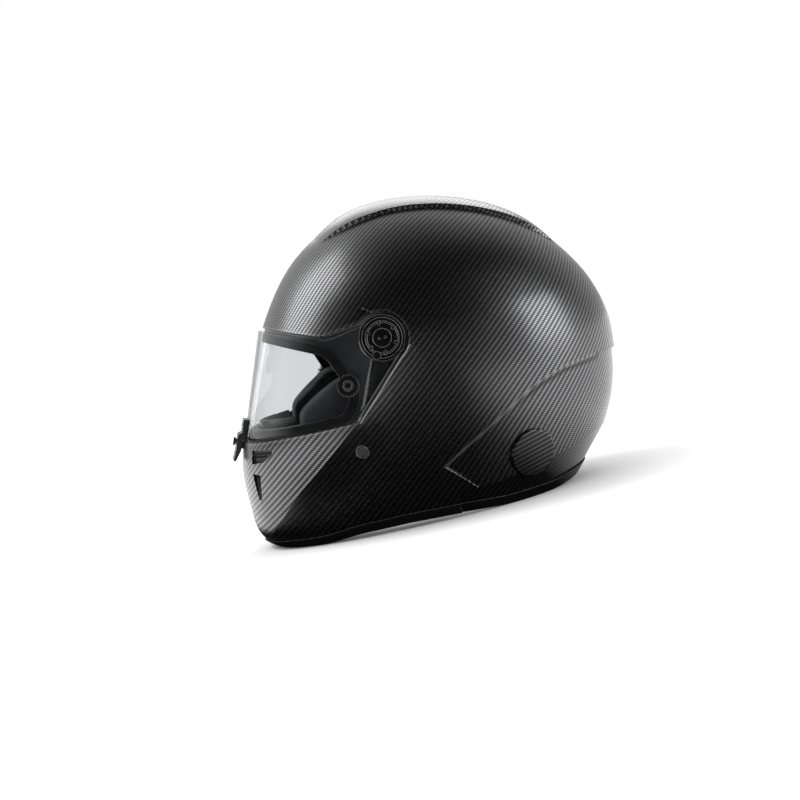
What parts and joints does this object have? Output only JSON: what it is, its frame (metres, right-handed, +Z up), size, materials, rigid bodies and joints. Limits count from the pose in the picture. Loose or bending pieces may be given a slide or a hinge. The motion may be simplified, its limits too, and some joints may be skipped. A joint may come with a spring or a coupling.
{
  "type": "auto racing helmet",
  "caption": "Full-face car racing helmet with twill carbon shell, tilting clear visor on turning pivot knobs, padded interior, chin straps and D-rings.",
  "frame": {"origin": "On the table plane, under the centre of the bounding box of the helmet resting on its lower edge", "axes": "+Z up, -Y the way the face looks, +X the wearer's left"},
  "size_m": [0.2482, 0.3406, 0.2666],
  "materials": {
    "carbon": "satin clear-coated twill carbon",
    "foam": "moulded energy-absorbing foam",
    "lining": "knitted lining over foam",
    "rubber": "matte",
    "clear": "clear hard-coated polycarbonate",
    "gloss_black": "gloss",
    "matte_black": "fine matte",
    "steel": "brushed",
    "aluminium": "satin",
    "webbing": "woven webbing",
    "mesh": "matte"
  },
  "bodies": {
    "helmet": {"outer_shell": "carbon", "eps_liner": "foam", "chin_liner": "foam", "crown_pad": "lining", "side_lining": "lining", "neck_roll": "lining", "cheek_pad_left": "lining", "cheek_pad_right": "lining", "breath_guard": "matte_black", "base_trim": "rubber", "eye_port_seal": "rubber", "pivot_base_left": "matte_black", "pivot_base_right": "matte_black", "hub_cap_left": "gloss_black", "hub_cap_right": "gloss_black", "latch_strike": "matte_black", "chin_vent_mesh_left": "mesh", "chin_vent_mesh_right": "mesh", "chin_slot_mesh_left": "mesh", "chin_slot_mesh_right": "mesh", "port_ring_left": "aluminium", "port_ring_right": "aluminium", "anchor_cover_left": "carbon", "anchor_cover_right": "carbon", "anchor_insert_left": "aluminium", "anchor_insert_right": "aluminium", "strap_left": "webbing", "strap_right": "webbing", "strap_snap": "steel", "strap_plate_left": "steel", "strap_plate_right": "steel", "strap_rivet_left": "steel", "strap_rivet_right": "steel"},
    "visor": {"visor": "clear", "visor_tab": "matte_black", "tab_screws": "steel"},
    "tear_off_post_left": {"tear_off_post_left": "matte_black", "post_screw_left": "steel"},
    "tear_off_post_right": {"tear_off_post_right": "matte_black", "post_screw_right": "steel"},
    "tab_button": {"tab_button": "gloss_black"},
    "knob_left": {"pivot_knob_left": "gloss_black"},
    "knob_right": {"pivot_knob_right": "gloss_black"},
    "lock_button_left": {"lock_button_left": "gloss_black"},
    "lock_button_right": {"lock_button_right": "gloss_black"},
    "port_plug_left": {"port_plug_left": "matte_black"},
    "port_plug_right": {"port_plug_right": "matte_black"},
    "ring_inner": {"ring_inner": "steel"},
    "ring_outer": {"ring_outer": "steel"}
  },
  "joints": [
    {"name": "visor_hinge", "type": "hinge", "parent": "helmet", "child": "visor", "pos_m": [0, -0.0335, 0.1588], "axis": [-1, 0, 0], "range_deg": [0, 45]},
    {"name": "knob_turn_left", "type": "hinge", "parent": "helmet", "child": "knob_left", "pos_m": [0.119, -0.0335, 0.1588], "axis": [1, 0, 0], "range_deg": [0, 60]},
    {"name": "lock_press_left", "type": "slide", "parent": "knob_left", "child": "lock_button_left", "axis": [-1, 0, 0], "range_m": [0, 0.0008], "stiffness_N_per_m": 900},
    {"name": "post_turn_left", "type": "hinge", "parent": "visor", "child": "tear_off_post_left", "pos_m": [0.11414, -0.0676, 0.1269], "axis": [0.9719, -0.2196, 0.0843], "range_deg": [0, 90]},
    {"name": "plug_pull_left", "type": "slide", "parent": "helmet", "child": "port_plug_left", "axis": [0.948, -0.2219, -0.2282], "range_m": [0, 0.008]},
    {"name": "knob_turn_right", "type": "hinge", "parent": "helmet", "child": "knob_right", "pos_m": [-0.119, -0.0335, 0.1588], "axis": [-1, 0, 0], "range_deg": [0, 60]},
    {"name": "lock_press_right", "type": "slide", "parent": "knob_right", "child": "lock_button_right", "axis": [1, 0, 0], "range_m": [0, 0.0008], "stiffness_N_per_m": 900},
    {"name": "post_turn_right", "type": "hinge", "parent": "visor", "child": "tear_off_post_right", "pos_m": [-0.11414, -0.0676, 0.1269], "axis": [-0.9719, -0.2196, 0.0843], "range_deg": [0, 90]},
    {"name": "plug_pull_right", "type": "slide", "parent": "helmet", "child": "port_plug_right", "axis": [-0.948, -0.2219, -0.2282], "range_m": [0, 0.008]},
    {"name": "tab_press", "type": "slide", "parent": "visor", "child": "tab_button", "axis": [0, 0.9336, -0.3584], "range_m": [0, 0.0008], "stiffness_N_per_m": 900},
    {"name": "ring_swing_inner", "type": "hinge", "parent": "helmet", "child": "ring_inner", "pos_m": [0.0876, 0.012, 0.036], "axis": [0, 1, 0], "range_deg": [0, 50]},
    {"name": "ring_swing_outer", "type": "hinge", "parent": "helmet", "child": "ring_outer", "pos_m": [0.0924, 0.012, 0.036], "axis": [0, 1, 0], "range_deg": [-10, 0]}
  ]
}
